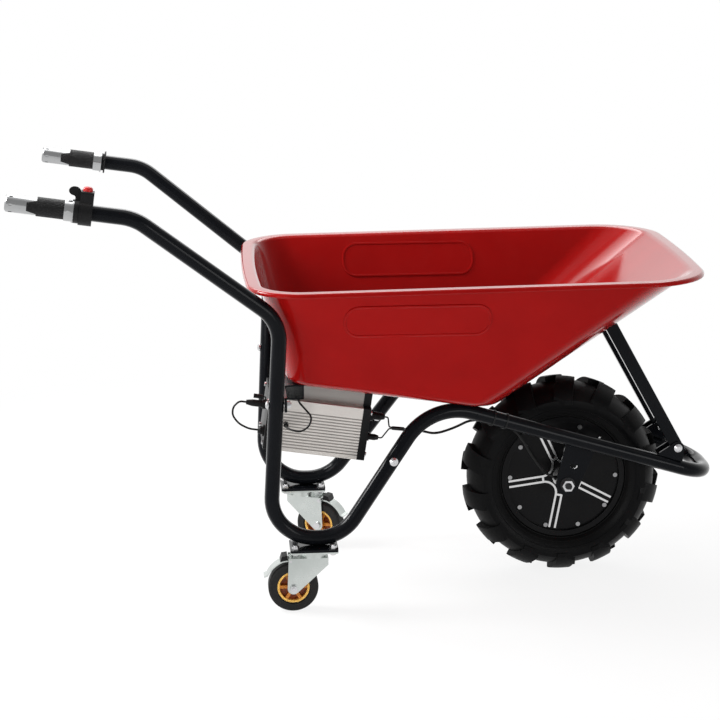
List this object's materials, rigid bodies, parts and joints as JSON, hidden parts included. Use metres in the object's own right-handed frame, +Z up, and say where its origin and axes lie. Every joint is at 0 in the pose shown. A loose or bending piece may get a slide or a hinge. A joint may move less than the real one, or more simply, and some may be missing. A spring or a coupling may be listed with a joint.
{
  "type": "electric wheelbarrow",
  "caption": "Electric wheelbarrow: deep moulded tray on a bent tube frame, hub motor wheel in front, swivel casters under the rear legs, battery box below the tray and a thumb throttle.",
  "frame": {"origin": "on the ground below the middle of the overall box", "axes": "+X forward from the handles to the drive wheel, +Y to the driver's left, +Z up"},
  "size_m": [1.407, 0.6895, 0.8769],
  "materials": {
    "frame_paint": "gloss powder coat",
    "tray_plastic": "glossy moulded",
    "zinc": "zinc plated",
    "bolt_steel": "bright plated",
    "case_aluminium": "satin extruded",
    "black_plastic": "moulded",
    "grip_rubber": "fine moulded",
    "grip_metal": "satin",
    "button_red": "glossy",
    "tyre_rubber": "moulded rubber",
    "rim_paint": "satin",
    "motor_iron": "laminated",
    "core_plastic": "moulded",
    "caster_rubber": "moulded",
    "lead_rubber": "smooth jacket",
    "pack_film": "shrink film"
  },
  "bodies": {
    "frame": {"front_loop": "frame_paint", "right_handle_tube": "frame_paint", "left_handle_tube": "frame_paint", "caster_mount_plates": "frame_paint", "rear_cross_bar": "frame_paint", "axle_brackets": "frame_paint", "stay_brackets": "frame_paint", "front_stay": "frame_paint", "frame_bolts": "bolt_steel", "tray": "tray_plastic", "tray_bolts": "bolt_steel", "hanger": "frame_paint", "battery_case": "case_aluminium", "front_end_plate": "black_plastic", "rear_end_plate": "black_plastic", "end_plate_screws": "bolt_steel", "battery_pack": "pack_film", "motor_controller": "case_aluminium", "lead_plugs": "black_plastic", "lead_sleeves": "lead_rubber", "plug_leads": "lead_rubber", "motor_lead": "lead_rubber", "jumper_lead": "lead_rubber", "control_lead": "lead_rubber", "cable_ties": "black_plastic", "grip_bars": "grip_metal", "right_grip": "grip_rubber", "left_grip": "grip_rubber", "grip_ends": "grip_metal", "clamp_rings": "grip_metal", "throttle_housing": "black_plastic", "axle": "bolt_steel", "axle_nuts": "bolt_steel", "axle_washers": "bolt_steel", "stator": "motor_iron", "caster_plates": "zinc", "caster_plate_bolts": "bolt_steel"},
    "drive_wheel": {"magnet_ring": "motor_iron", "wheel_rim": "rim_paint", "right_hub_cover": "rim_paint", "left_hub_cover": "rim_paint", "cover_screws": "bolt_steel", "bearings": "bolt_steel", "tyre": "tyre_rubber"},
    "right_caster_swivel": {"right_caster_fork": "zinc", "right_king_pin": "zinc", "right_caster_pins": "bolt_steel"},
    "right_caster_wheel": {"right_caster_core": "core_plastic", "right_caster_tyre": "caster_rubber"},
    "right_brake": {"right_brake_pedal": "zinc", "right_pedal_pad": "black_plastic"},
    "left_caster_swivel": {"left_caster_fork": "zinc", "left_king_pin": "zinc", "left_caster_pins": "bolt_steel"},
    "left_caster_wheel": {"left_caster_core": "core_plastic", "left_caster_tyre": "caster_rubber"},
    "left_brake": {"left_brake_pedal": "zinc", "left_pedal_pad": "black_plastic"},
    "throttle": {"throttle_paddle": "black_plastic"},
    "switch": {"throttle_button": "button_red"}
  },
  "joints": [
    {"name": "drive_wheel_spin", "type": "hinge", "parent": "frame", "child": "drive_wheel", "pos_m": [0.3925, 0, 0.208], "axis": [0, 1, 0], "continuous": true},
    {"name": "right_caster_turn", "type": "hinge", "parent": "frame", "child": "right_caster_swivel", "pos_m": [-0.1355, -0.206, 0.112], "axis": [0, 0, 1], "continuous": true},
    {"name": "right_caster_spin", "type": "hinge", "parent": "right_caster_swivel", "child": "right_caster_wheel", "pos_m": [-0.177, -0.206, 0.05], "axis": [0, -1, 0], "continuous": true},
    {"name": "right_brake_tip", "type": "hinge", "parent": "right_caster_swivel", "child": "right_brake", "pos_m": [-0.182, -0.206, 0.106], "axis": [0, -1, 0], "range_deg": [0, 6]},
    {"name": "left_caster_turn", "type": "hinge", "parent": "frame", "child": "left_caster_swivel", "pos_m": [-0.1355, 0.206, 0.112], "axis": [0, 0, 1], "continuous": true},
    {"name": "left_caster_spin", "type": "hinge", "parent": "left_caster_swivel", "child": "left_caster_wheel", "pos_m": [-0.09789, 0.18846, 0.05], "axis": [0.4226, 0.9063, 0], "continuous": true},
    {"name": "left_brake_tip", "type": "hinge", "parent": "left_caster_swivel", "child": "left_brake", "pos_m": [-0.09336, 0.18635, 0.106], "axis": [0.4226, 0.9063, 0], "range_deg": [0, 6]},
    {"name": "throttle_press", "type": "hinge", "parent": "frame", "child": "throttle", "pos_m": [-0.57229, -0.321, 0.83043], "axis": [-0.9895, 0, 0.1444], "range_deg": [0, 55], "stiffness_Nm_per_rad": 0.06, "springref_deg": -20.05},
    {"name": "switch_press", "type": "slide", "parent": "frame", "child": "switch", "axis": [-0.1444, 0, -0.9895], "range_m": [0, 0.002], "stiffness_N_per_m": 400, "springref_m": -0.001}
  ]
}
